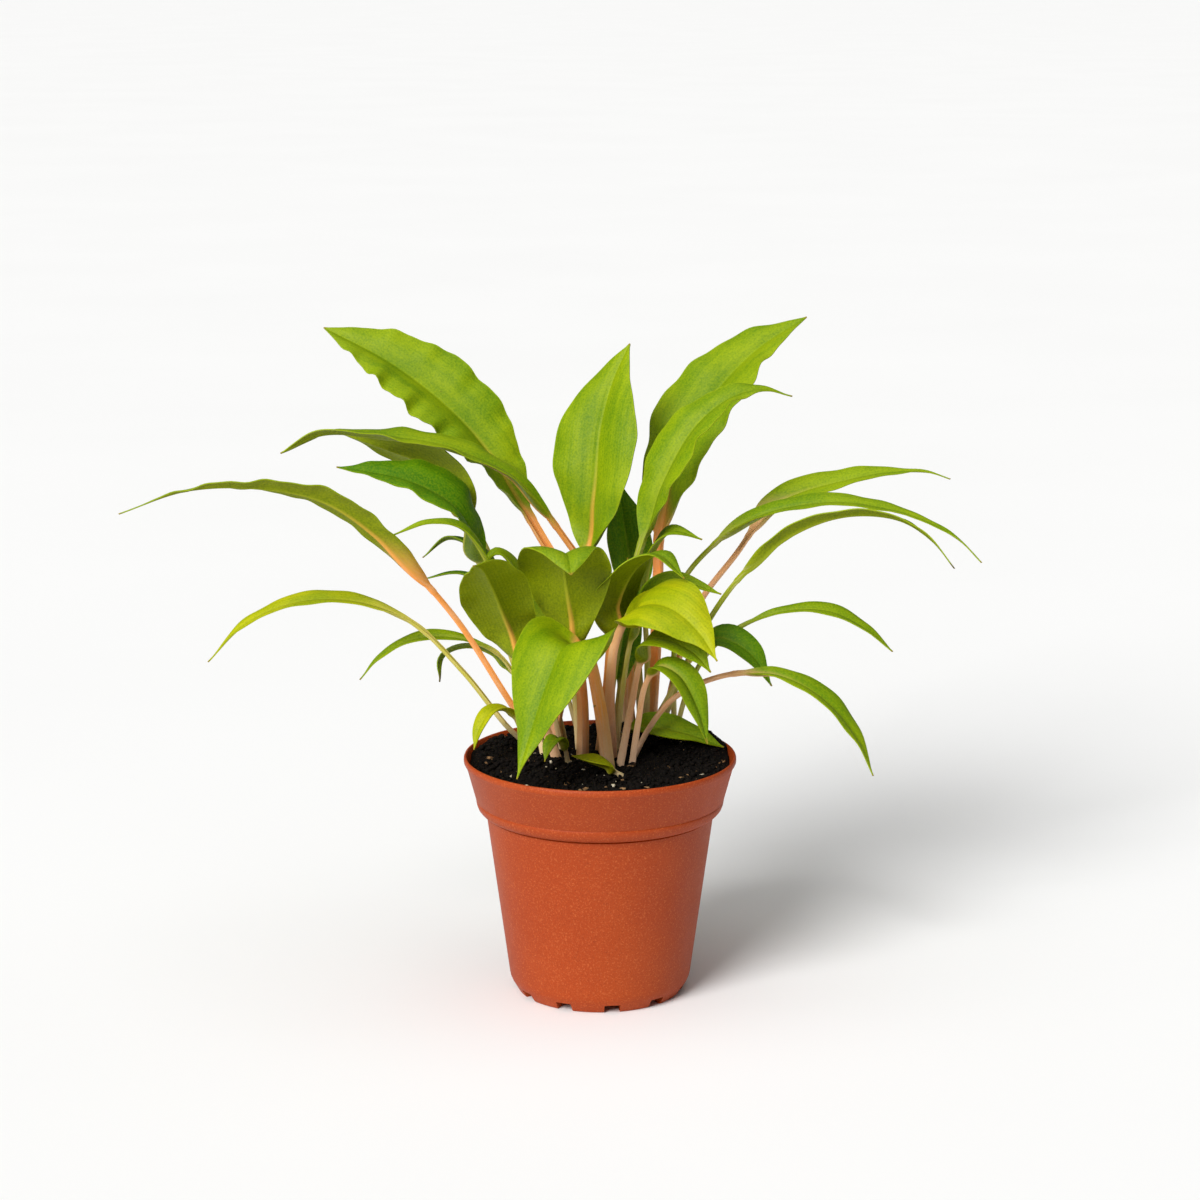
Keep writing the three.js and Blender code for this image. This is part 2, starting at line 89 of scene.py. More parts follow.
class Graph:
    """A material's node tree, with each kind of node made by one call that returns its output socket."""

    def __init__(self, name):
        self.material = bpy.data.materials.new(name)
        self.material.use_nodes = True
        self.tree = self.material.node_tree
        self.shader = self.tree.nodes["Principled BSDF"]
        self._object = None

    def node(self, kind, **settings):
        made = self.tree.nodes.new(kind)
        for key, value in settings.items():
            setattr(made, key, value)
        return made

    def feed(self, socket, value):
        """Sets an input to a constant or links a socket to it."""
        if isinstance(value, bpy.types.NodeSocket):
            self.tree.links.new(value, socket)
        else:
            socket.default_value = value

    def attribute(self, name):
        return self.node("ShaderNodeAttribute", attribute_name=name).outputs["Fac"]

    def place(self):
        """The point on the surface, in metres."""
        if self._object is None:
            self._object = self.node("ShaderNodeTexCoord").outputs["Object"]
        return self._object

    def math(self, operation, a, b=0.0, c=0.0):
        made = self.node("ShaderNodeMath", operation=operation)
        for socket, value in zip(made.inputs, (a, b, c)):
            self.feed(socket, value)
        return made.outputs[0]

    def steps(self, value, low, high, to_low=0.0, to_high=1.0):
        """A smooth change from to_low at low to to_high at high."""
        made = self.node("ShaderNodeMapRange", interpolation_type="SMOOTHSTEP")
        keys = ("Value", "From Min", "From Max", "To Min", "To Max")
        for key, given in zip(keys, (value, low, high, to_low, to_high)):
            self.feed(made.inputs[key], given)
        return made.outputs["Result"]

    def noise(self, scale, detail=3.0, roughness=0.5, vector=None):
        made = self.node("ShaderNodeTexNoise")
        self.feed(made.inputs["Vector"], vector or self.place())
        self.feed(made.inputs["Scale"], scale)
        self.feed(made.inputs["Detail"], detail)
        self.feed(made.inputs["Roughness"], roughness)
        return made.outputs["Fac"]

    def vector(self, x, y, z=0.0):
        made = self.node("ShaderNodeCombineXYZ")
        for socket, value in zip(made.inputs, (x, y, z)):
            self.feed(socket, value)
        return made.outputs[0]

    def mix(self, factor, a, b):
        """Colour a where factor is 0, and b where it is 1."""
        made = self.node("ShaderNodeMix", data_type="RGBA")
        number, colour_a, colour_b = (made.inputs[i] for i in (0, 6, 7))  # the float and colour sockets
        self.feed(number, factor)
        self.feed(colour_a, a)
        self.feed(colour_b, b)
        return made.outputs[2]

    def bump(self, height, distance, strength=1.0):
        """height is from 0 to 1, and distance in metres."""
        made = self.node("ShaderNodeBump")
        self.feed(made.inputs["Height"], height)
        self.feed(made.inputs["Distance"], distance)
        self.feed(made.inputs["Strength"], strength)
        self.feed(self.shader.inputs["Normal"], made.outputs[0])

    def finish(self, colour, roughness, specular):
        self.feed(self.shader.inputs["Base Color"], colour)
        self.feed(self.shader.inputs["Roughness"], roughness)
        self.shader.inputs["Specular IOR Level"].default_value = specular
        return self.material


# ---- mesh helpers ----

def make_object(name, vertices, faces, material, attributes=None, sharp=None):
    """A smooth-shaded mesh, from vertices in millimetres and faces as lists of indices.

    sharp takes an array of edges, as pairs of vertices, and says which of them are sharp.
    """
    mesh = bpy.data.meshes.new(name)
    mesh.from_pydata(np.asarray(vertices, float) * MM, [], faces)
    mesh.polygons.foreach_set("use_smooth", np.ones(len(mesh.polygons), bool))
    for key, values in (attributes or {}).items():
        layer = mesh.attributes.new(key, "FLOAT", "POINT")
        layer.data.foreach_set("value", np.ascontiguousarray(values, np.float32))
    if sharp is not None:
        edges = np.empty(len(mesh.edges) * 2, np.int32)
        mesh.edges.foreach_get("vertices", edges)
        pairs = edges.reshape(-1, 2)
        mesh.attributes.new("sharp_edge", "BOOLEAN", "EDGE").data.foreach_set("value", sharp(pairs))
    mesh.materials.append(material)
    mesh.update()
    made = bpy.data.objects.new(name, mesh)
    bpy.context.collection.objects.link(made)
    return made


def skin(rings, start, end, flip=False):
    """Vertices and faces of a closed surface over rings of points, with a point capping each end."""
    count, ring = rings.shape[:2]
    vertices = np.vstack([rings.reshape(-1, 3), [start], [end]])
    i, j = np.meshgrid(np.arange(count - 1), np.arange(ring), indexing="ij")
    k = (j + 1) % ring
    quads = [i * ring + j, i * ring + k, (i + 1) * ring + k, (i + 1) * ring + j]
    faces = np.stack(quads, -1).reshape(-1, 4).tolist()
    first, last = len(vertices) - 2, len(vertices) - 1
    end_ring = (count - 1) * ring
    for j in range(ring):
        k = (j + 1) % ring
        faces.append([first, k, j])
        faces.append([last, end_ring + j, end_ring + k])
    if flip:
        faces = [face[::-1] for face in faces]
    return vertices, faces


# ---- potting mix: the same hills as the CAD solid ----

POT_HEIGHT = 97
SOIL_EDGE_Z = 92.6
SOIL_SLOPE = 0.04
# x, y, height and spread of each mound
MOUNDS = [(21, 34, 5.5, 12), (-4, 12, 3, 20), (44, 18, 6, 6), (-40, 20, 2.5, 12)]


def soil_height(x, y):
    z = SOIL_EDGE_Z + SOIL_SLOPE * y
    for mx, my, height, spread in MOUNDS:
        z = z + height * np.exp(-((x - mx) ** 2 + (y - my) ** 2) / (2 * spread**2))
    return z + 0.5 * np.sin(0.31 * x + 1) * np.cos(0.27 * y) + 0.3 * np.sin(0.83 * x - 0.6 * y)


# ---- leaves ----

# Each path runs from the leaf's foot to its tip. The values are those of the CAD leaves.
LEAVES = {
    "back_left_tall": dict(
        foot=(13, 40),
        path=[
            (8, 43, 130), (-19, 46, 168), (-38, 52, 199), (-56, 58, 222), (-84, 66, 244),
            (-114, 74, 259),
        ],
        width=37, stalk=0.44, widest=0.52, roll=(-25, -40, -35), fold=26),
    "left_long": dict(
        foot=(13, 33),
        path=[
            (11, 36, 142), (-10, 33, 173), (-33, 30, 202), (-61, 27, 216), (-87, 24, 221),
            (-110, 20, 223), (-127, 17, 216),
        ],
        width=21, stalk=0.42, widest=0.5, roll=(-16, -12, -8, -6, 10, 50)),
    "left_behind": dict(
        foot=(-19, 31),
        path=[
            (-27, 33, 128), (-42, 34, 165), (-58, 36, 195), (-69, 38, 207), (-84, 40, 213),
            (-104, 41, 220),
        ],
        width=26, stalk=0.6, widest=0.34, roll=(45, 50, 50)),
    "left_broad": dict(
        foot=(-24, 20),
        path=[
            (-31, 17, 122), (-40, 15, 151), (-49, 14, 178), (-59, 12, 196), (-76, 11, 206),
            (-104, 9, 212),
        ],
        width=30, stalk=0.5, widest=0.42, roll=(-15, -22, -18), tint="dark_green"),
    "left_longest": dict(
        foot=(-25, 14),
        path=[
            (-38, 8, 120), (-58, -1, 154), (-81, -11, 182), (-106, -20, 203), (-132, -27, 210),
            (-158, -33, 210), (-183, -38, 202),
        ],
        width=15, stalk=0.36, widest=0.36, full=3, roll=(38, 34, 15), tint="olive"),
    "left_yellow": dict(
        foot=(-29, 15),
        path=[
            (-37, 13, 105), (-55, 13, 128), (-76, 12, 149), (-98, 11, 157), (-120, 10, 157),
            (-142, 9, 148), (-157, 8, 133),
        ],
        width=12, stalk=0.38, widest=0.5, full=3, roll=(-16, -10), tint="yellow_green"),
    "left_arch": dict(
        foot=(-29, 22),
        path=[
            (-32, 23, 118), (-42, 24, 133), (-58, 25, 139), (-76, 26, 138), (-90, 27, 130),
            (-98, 27, 121),
        ],
        width=8, stalk=0.38, widest=0.5, full=3, roll=(-22, -15)),
    "left_curled": dict(
        foot=(-24, 31),
        path=[(-31, 32, 116), (-42, 34, 129), (-54, 35, 133), (-64, 35, 129), (-66, 35, 118)],
        width=11, stalk=0.4, roll=(10, 20), tint="dark_green"),
    "centre_left_upright": dict(
        foot=(-18, 2),
        path=[
            (-26, -2, 120), (-33, -7, 143), (-38, -15, 158), (-42, -25, 171), (-45, -36, 180),
            (-48, -48, 184),
        ],
        width=28, stalk=0.36, widest=0.46, roll=(30, 35, 30), fold=12, tint="olive"),
    "centre_front_upright": dict(
        foot=(-7, -1),
        path=[
            (-7, -4, 118), (-9, -8, 140), (-12, -11, 160), (-14, -15, 175), (-14, -22, 183),
            (-12, -30, 184), (-11, -37, 178),
        ],
        width=36, stalk=0.4, widest=0.56, full=2.4, roll=(0, 0), fold=10, tint="olive"),
    "centre_right_upright": dict(
        foot=(0, 7),
        path=[(3, 6, 125), (5, 1, 148), (9, -4, 165), (15, -9, 176), (23, -14, 181), (33, -20, 173)],
        width=27, stalk=0.44, widest=0.4, roll=(0, 0), fold=12, tint="olive"),
    "front_broad": dict(
        foot=(3, -8),
        path=[
            (0, -10, 118), (-4, -14, 139), (-8, -21, 150), (-14, -30, 149), (-20, -38, 137),
            (-27, -45, 117), (-32, -51, 101),
        ],
        width=42, stalk=0.44, widest=0.22, full=1.9, roll=(0, 0), fold=5),
    "right_yellow": dict(
        foot=(5, 1),
        path=[
            (4, -1, 122), (6, -6, 145), (12, -13, 158), (20, -20, 163), (29, -28, 162), (38, -35, 155),
            (45, -41, 145),
        ],
        width=30, stalk=0.5, widest=0.36, roll=(25, 32), fold=4, tint="yellow_green"),
    "right_pointed": dict(
        foot=(6, 8),
        path=[(9, 8, 125), (14, 6, 150), (21, 4, 163), (33, 1, 167), (48, -2, 163)],
        width=15, stalk=0.45, roll=(20, 20)),
    "right_lower": dict(
        foot=(8, -5),
        path=[
            (12, -6, 118), (16, -8, 138), (21, -13, 147), (28, -19, 148), (37, -25, 144),
            (43, -30, 138),
        ],
        width=19, stalk=0.48, roll=(20, 20)),
    "right_olive_arch": dict(
        foot=(13, -4),
        path=[
            (15, -9, 112), (18, -14, 130), (23, -19, 138), (31, -23, 135), (38, -27, 123),
            (42, -29, 109),
        ],
        width=14, stalk=0.46, roll=(15, 15), tint="olive"),
    "right_dark": dict(
        foot=(21, 28),
        path=[(26, 24, 112), (36, 19, 131), (48, 15, 141), (60, 11, 136), (69, 8, 123)],
        width=15, stalk=0.45, roll=(25, 25), tint="dark_green"),
    "right_low_long": dict(
        foot=(13, 2),
        path=[
            (19, 2, 107), (28, 1, 119), (40, -2, 127), (56, -6, 132), (73, -10, 131), (89, -13, 122),
            (101, -16, 108), (108, -18, 93),
        ],
        width=14, stalk=0.42, widest=0.5, full=2.8, roll=(12, 12)),
    "right_arch": dict(
        foot=(30, 24),
        path=[
            (36, 27, 118), (44, 29, 132), (58, 30, 143), (75, 30, 149), (93, 29, 149), (108, 27, 142),
            (119, 26, 133),
        ],
        width=10, stalk=0.4, widest=0.6, full=3, roll=(18, 14)),
    "right_upper_long": dict(
        foot=(30, 36),
        path=[
            (30, 40, 130), (33, 39, 158), (46, 37, 175), (57, 36, 184), (69, 34, 189), (84, 32, 192.5),
            (100, 30, 193.5), (116, 29, 191), (130, 28, 187), (145, 26, 179), (154, 25, 170),
        ],
        width=13, stalk=0.4, widest=0.36, full=2.6, roll=(18, 8)),
    "right_upper_back": dict(
        foot=(26, 38),
        path=[
            (33, 44, 128), (41, 46, 149), (56, 48, 169), (70, 50, 188), (82, 51, 194), (101, 52, 199),
            (118, 53, 202), (135, 54, 202), (144, 55, 199),
        ],
        width=16, stalk=0.48, widest=0.36, full=2.8, roll=(28, 20, 8)),
    "right_upper_front": dict(
        foot=(25, 32),
        path=[
            (33, 31, 122), (44, 26, 146), (58, 20, 167), (78, 12, 185), (98, 6, 193), (118, 2, 192),
            (131, 0, 184), (140, -1, 173),
        ],
        width=13, stalk=0.4, widest=0.4, full=2.8, roll=(-30, -10)),
    "back_right_tall": dict(
        foot=(21, 41),
        path=[
            (23, 46, 130), (24, 50, 158), (25, 54, 180), (32, 61, 205), (46, 71, 230), (64, 80, 248),
            (86, 86, 262),
        ],
        width=39, stalk=0.38, widest=0.5, roll=(10, 15)),
    "right_tall": dict(
        foot=(1, 13),
        path=[
            (4, 14, 120), (9, 15, 150), (16, 16, 178), (25, 19, 204), (38, 23, 226), (52, 26, 237),
            (64, 28, 240), (77, 30, 237),
        ],
        width=25, stalk=0.46, widest=0.42, full=2.8, roll=(20, 20)),
    "centre_tall": dict(
        foot=(-20, 14),
        path=[
            (-14, 20, 125), (-9, 24, 152), (-5, 29, 176), (-2, 33, 200), (0, 40, 222), (5, 48, 240),
            (12, 54, 255),
        ],
        width=38, stalk=0.46, widest=0.48, roll=(0, 0), fold=10),
    "back_dark": dict(
        foot=(17, 38),
        path=[(15, 42, 130), (13, 49, 160), (10, 54, 180), (7, 58, 199)],
        width=22, stalk=0.5, roll=(0, 0), tint="dark_green"),
    "right_small_arch": dict(
        foot=(19, 32),
        path=[(19, 30, 130), (18, 27, 158), (22, 23, 176), (29, 20, 184), (41, 18, 181)],
        width=13, stalk=0.5, roll=(20, 20)),
    "left_small_grey": dict(
        foot=(-23, 6),
        path=[
            (-27, 7, 120), (-34, 5, 148), (-43, -1, 173), (-54, -5, 190), (-67, -9, 193),
            (-83, -13, 188),
        ],
        width=8, stalk=0.5, full=3, roll=(-15, -15)),
    "left_small_hanging": dict(
        foot=(-14, 22),
        path=[(-22, 21, 130), (-37, 21, 160), (-51, 26, 176), (-61, 30, 179), (-72, 31, 171)],
        width=13, stalk=0.5, roll=(10, 10), tint="dark_green"),
    "left_thin": dict(
        foot=(-9, 35),
        path=[(-18, 39, 125), (-36, 41, 148), (-56, 42, 162), (-73, 41, 160)],
        width=7, stalk=0.5, roll=(0, 0), tint="dark_green"),
    "left_folded": dict(
        foot=(-15, 10),
        path=[(-21, 12, 125), (-28, 13, 150), (-34, 11, 170), (-41, 7, 178), (-48, 5, 172)],
        width=13, stalk=0.5, roll=(-20, -20)),
    "rim_left": dict(
        foot=(-29, 7),
        path=[(-31, 4, 104), (-36, 0, 115), (-43, -5, 116), (-48, -9, 110), (-50, -12, 102)],
        width=9, stalk=0.35, roll=(0, 0), tint="yellow_green"),
    "lying_right": dict(
        foot=(8, 24),
        path=[(10, 19, 101), (15, 15, 104.5), (28, 12, 104), (40, 11, 101), (50, 9, 97.5)],
        width=16, stalk=0.15, roll=(22, 20)),
    "front_small_yellow": dict(
        foot=(8, -17),
        path=[(4, -18, 96), (-3, -18, 98.5), (-11, -16, 101)],
        width=12, stalk=0.1, roll=(0, 0), fold=25, tint="yellow_green"),
    "front_small_olive": dict(
        foot=(-13, -4),
        path=[(-14, -6, 101), (-17, -9, 106), (-20, -12, 104), (-22, -15, 98)],
        width=8, stalk=0.2, roll=(0, 0), tint="olive"),
    # This inner leaf stands among the shaded leaves behind: its dark green tint is painted shade.
    "inner_dark": dict(
        foot=(6, 17),
        path=[(8, 18, 118), (11, 20, 138), (12, 22, 155), (11, 25, 172)],
        width=15, stalk=0.3, roll=(0, 0), tint="dark_green"),
    "inner_left_dark": dict(
        foot=(-8, 10),
        path=[(-10, 11, 120), (-14, 10, 142), (-19, 6, 158), (-24, 0, 172)],
        width=22, stalk=0.34, roll=(0, 0), tint="dark_green"),
    "back_middle": dict(
        foot=(9, 44),
        path=[(8, 56, 130), (3, 74, 146), (-5, 90, 148), (-11, 104, 136)],
        width=24, stalk=0.35, roll=(0, 0)),
    "back_left": dict(
        foot=(-16, 35),
        path=[(-22, 43, 120), (-28, 58, 140), (-33, 74, 144), (-37, 89, 137)],
        width=24, stalk=0.35, roll=(0, 0)),
}

# What each leaf shows that its CAD solid doesn't.
# wave: height of the ripples along its left and right margins, and ripple: their length.
# stalk: the stalk's colour, and start: the share of the blade over which that colour fades.
# rib: how strongly the midrib shows on top.
# dry: length of the dry tip, and dry_tone: its colour.
LOOKS = {
    "back_left_tall": dict(wave=(2.8, 1.0), ripple=15, stalk="orange"),
    "back_right_tall": dict(wave=(1.4, 1.8), ripple=24, stalk="orange", start=0.25),
    "centre_tall": dict(wave=(1.2, 1.2), ripple=30, stalk="orange", rib=0.6),
    "left_longest": dict(wave=(0.9, 0.5), ripple=20, stalk="orange", start=0.3),
    "left_long": dict(wave=(0.8, 0.8), stalk="orange"),
    "left_broad": dict(wave=(1.0, 1.0), ripple=18),
    "right_tall": dict(wave=(0.8, 1.4), ripple=20, stalk="green"),
    "front_broad": dict(wave=(0.7, 0.7), ripple=34, stalk="orange", rib=0.0),
    "centre_left_upright": dict(wave=(1.0, 1.4), ripple=22, stalk="orange"),
    "centre_front_upright": dict(wave=(1.0, 1.0), ripple=24, stalk="orange"),
    "centre_right_upright": dict(stalk="orange"),
    "left_yellow": dict(stalk="pale", start=0.4),
    "left_arch": dict(stalk="pale"),
    "left_curled": dict(stalk="green", dry=3.0, dry_tone=(90, 60, 30)),
    "right_low_long": dict(stalk="pink", start=0.2),
    "right_yellow": dict(stalk="pink", rib=0.0),
    "right_upper_back": dict(stalk="pink", start=0.3),
    "right_upper_front": dict(stalk="green", start=0.2, dry=2.2, dry_tone=(70, 34, 22)),
    "right_upper_long": dict(stalk="green", start=0.2),
    "right_arch": dict(stalk="green", start=0.2),
    "right_lower": dict(stalk="pink"),
    "right_olive_arch": dict(stalk="pink", dry=1.6),
}

NECK_LEAST = 0.55  # half width of the stalk where the blade begins, on the narrowest leaf
NECK_GROWTH = 0.042  # and how much it gains for each millimetre of the blade's width
FOOT_FLARE = 1.25  # how much wider the stalk is at its foot
FOOT_CLEARANCE = 0.9  # above the potting mix, where the leaf's CAD solid starts
FOOT_DEPTH = 5  # how far the stalk goes down into the potting mix
BLADE_THICKNESS = 0.45
# Where the lines along a leaf run, as shares of its half width: closer by the midrib and the margins.
ACROSS = np.array([0, 0.04, 0.09, 0.16, 0.26, 0.38, 0.5, 0.62, 0.74, 0.85, 0.94, 1.0])
ACROSS = np.concatenate([-ACROSS[:0:-1], ACROSS])


def smooth(x):
    x = np.clip(x, 0, 1)
    return x * x * (3 - 2 * x)


def curve_through(points, per_span=48):
    """Points along a centripetal Catmull-Rom curve."""
    p = np.asarray(points, float)
    p = np.vstack([2 * p[0] - p[1], p, 2 * p[-1] - p[-2]])
    spans = []
    for p0, p1, p2, p3 in zip(p, p[1:], p[2:], p[3:]):
        d0, d1, d2 = (math.sqrt(np.linalg.norm(b - a)) for a, b in ((p0, p1), (p1, p2), (p2, p3)))
        m1 = ((p1 - p0) / d0 - (p2 - p0) / (d0 + d1) + (p2 - p1) / d1) * d1
        m2 = ((p2 - p1) / d1 - (p3 - p1) / (d1 + d2) + (p3 - p2) / d2) * d1
        t = np.linspace(0, 1, per_span, endpoint=False)[:, None]
        spans.append(
            (2 * t**3 - 3 * t**2 + 1) * p1 + (t**3 - 2 * t**2 + t) * m1
            + (3 * t**2 - 2 * t**3) * p2 + (t**3 - t**2) * m2
        )
    return np.vstack(spans + [p[-2:-1]])


def unit(v):
    return v / np.linalg.norm(v, axis=-1, keepdims=True)


def half_width(t, width, stalk, widest, full):
    """Half the leaf's width at share t of its length."""
    neck = NECK_LEAST + NECK_GROWTH * width
    on_stalk = neck * (FOOT_FLARE - (FOOT_FLARE - 1) * np.clip(t / stalk, 0, 1))
    s = np.clip((t - stalk) / (1 - stalk), 0, 1)
    rise = (s / widest) ** (full * widest)
    fall = ((1 - s) / (1 - widest)) ** (full * (1 - widest))
    return np.where(t <= stalk, on_stalk, np.maximum(width / 2 * rise * fall, neck * (1 - s) + 0.25))


def make_leaf(
    name, foot, path, width, stalk=0.45, widest=0.42, full=2.2, roll=(0, 0), fold=18, tint="green"
):
    """One leaf with its stalk, as a closed surface round its midrib, in place of its CAD solid."""
    look = LOOKS.get(name, {})
    draw = np.random.default_rng(sum(map(ord, name)))
    start = (*foot, float(soil_height(*foot)) + FOOT_CLEARANCE)
    dense = curve_through([start, *path])
    gone = np.concatenate([[0], np.cumsum(np.linalg.norm(np.diff(dense, axis=0), axis=1))])
    length = gone[-1]
    spacing = 1.6
    count = max(36, int(length / spacing))
    t = np.concatenate([[-FOOT_DEPTH / length], np.linspace(0, 0.999, count)])
    inside = np.clip(t, 0, 1)
    centre = np.stack([np.interp(inside * length, gone, dense[:, k]) for k in range(3)], -1)
    slope = unit(np.gradient(dense, gone, axis=0))
    tangent = unit(np.stack([np.interp(inside * length, gone, slope[:, k]) for k in range(3)], -1))
    centre[0] -= tangent[0] * FOOT_DEPTH

    general = dense[-1] - dense[0]
    general = unit(np.array([general[0], general[1], 0]))
    heading = tangent * (1, 1, 0) + 0.8 * general
    side = np.cross(heading, (0, 0, 1))
    side = unit(side - tangent * np.sum(side * tangent, -1, keepdims=True))
    normal = np.cross(side, tangent)
    s = np.clip((t - stalk) / (1 - stalk), 0, 1)
    turn = np.interp(s, np.linspace(0, 1, len(roll)), roll) * np.clip(t / stalk, 0, 1)
    cos, sin = np.cos(np.radians(turn))[:, None], np.sin(np.radians(turn))[:, None]
    side, normal = side * cos - normal * sin, normal * cos + side * sin

    half = half_width(inside, width, stalk, widest, full)
    blade = smooth(s * 4)
    # Uneven margins, and ripples that die out towards the stalk and the tip.
    ripple = look.get("ripple", 26)
    v = ACROSS[None, :]
    wave = np.where(v < 0, *look.get("wave", (0.035 * width, 0.035 * width)))
    run = (t * length)[:, None]
    phase = np.where(v < 0, draw.uniform(0, 6), draw.uniform(0, 6))
    swell = np.sin(2 * np.pi * run / ripple + phase)
    swell = swell + 0.5 * np.sin(2 * np.pi * run / (0.55 * ripple) + 2 * phase)
    fade = (smooth(s / 0.2) * smooth((1 - s) / 0.25))[:, None]
    h = half[:, None] * (1 + 0.035 * fade * np.sin(2 * np.pi * run / (1.7 * ripple) + 1.3 * phase))
    folded = np.radians(fold * (1 - 0.35 * s))[:, None]
    arch = 0.10 * h * np.sin(np.pi * np.abs(v))
    lift = h * np.abs(v) * np.sin(folded) + arch + wave * swell * fade * np.abs(v) ** 1.8 * 0.6
    mm = h * v
    groove = 0.45 * np.exp(-((mm / 1.1) ** 2)) * (1 - 0.7 * s)[:, None]
    ridge = 0.75 * np.exp(-((mm / 1.2) ** 2)) * (1 - 0.8 * s)[:, None]
    b = blade[:, None]
    channel = -0.35 * h * (1 - v * v)
    keel = -1.15 * h * np.sqrt(np.clip(1 - v * v, 0, 1)) - 0.05
    top = (1 - b) * (channel + 0.4 * h * np.abs(v)) + b * (lift - groove)
    bottom = (1 - b) * (keel + 0.4 * h * np.abs(v)) + b * (lift - BLADE_THICKNESS - ridge)
    out = mm * (1 - b) + b * mm * np.cos(folded)

    columns = len(ACROSS)
    ring_out = np.concatenate([out, out[:, ::-1]], 1)
    ring_up = np.concatenate([top, bottom[:, ::-1]], 1)
    points = centre[:, None] + side[:, None] * ring_out[..., None] + normal[:, None] * ring_up[..., None]
    rows, ring = points.shape[:2]
    vertices, faces = skin(points, centre[0], dense[-1], flip=True)

    def per_vertex(values, foot_value, tip_value):
        spread = np.broadcast_to(values, (rows, ring)).reshape(-1)
        return np.concatenate([spread, [foot_value, tip_value]])

    attributes = {
        "leaf_share": per_vertex(s[:, None], 0, 1),
        "leaf_to_tip": per_vertex((1 - t[:, None]) * length, length, 0),
        "leaf_across": per_vertex(np.concatenate([mm, mm[:, ::-1]], 1), 0, 0),
        "leaf_edge": per_vertex(np.abs(np.concatenate([v, v[:, ::-1]], 1)), 0, 0),
        "leaf_under": per_vertex(np.arange(ring)[None, :] >= columns, 1, 0.5),
        "leaf_run": per_vertex(run, 0, length),
    }
    margins = [0, columns - 1, columns, ring - 1]

    def sharp(pairs):
        along = np.abs(pairs[:, 0] - pairs[:, 1]) == ring
        return along & np.isin(pairs[:, 0] % ring, margins) & (pairs.max(1) < rows * ring)

    material = leaf_material(name, tint, look)
    made = make_object("leaf_" + name + "_blade", vertices, faces, material, attributes, sharp)
    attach(made, "root")
    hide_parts("leaf_" + name)


# Colours: (upper side, its paler patches, underside).
TINTS = {
    "green": ((100, 132, 2), (134, 156, 4), (120, 134, 2)),
    "yellow_green": ((136, 152, 2), (178, 178, 8), (156, 154, 8)),
    "olive": ((96, 128, 2), (124, 146, 6), (118, 130, 0)),
    "dark_green": ((64, 112, 2), (88, 134, 6), (92, 116, 6)),
}
# Colours: (near the potting mix, higher up).
STALKS = {
    "orange": ((246, 196, 150), (248, 160, 80)),
    "pink": ((242, 202, 166), (236, 178, 124)),
    "pale": ((234, 208, 156), (190, 182, 74)),
    "green": ((220, 200, 124), (146, 160, 24)),
}


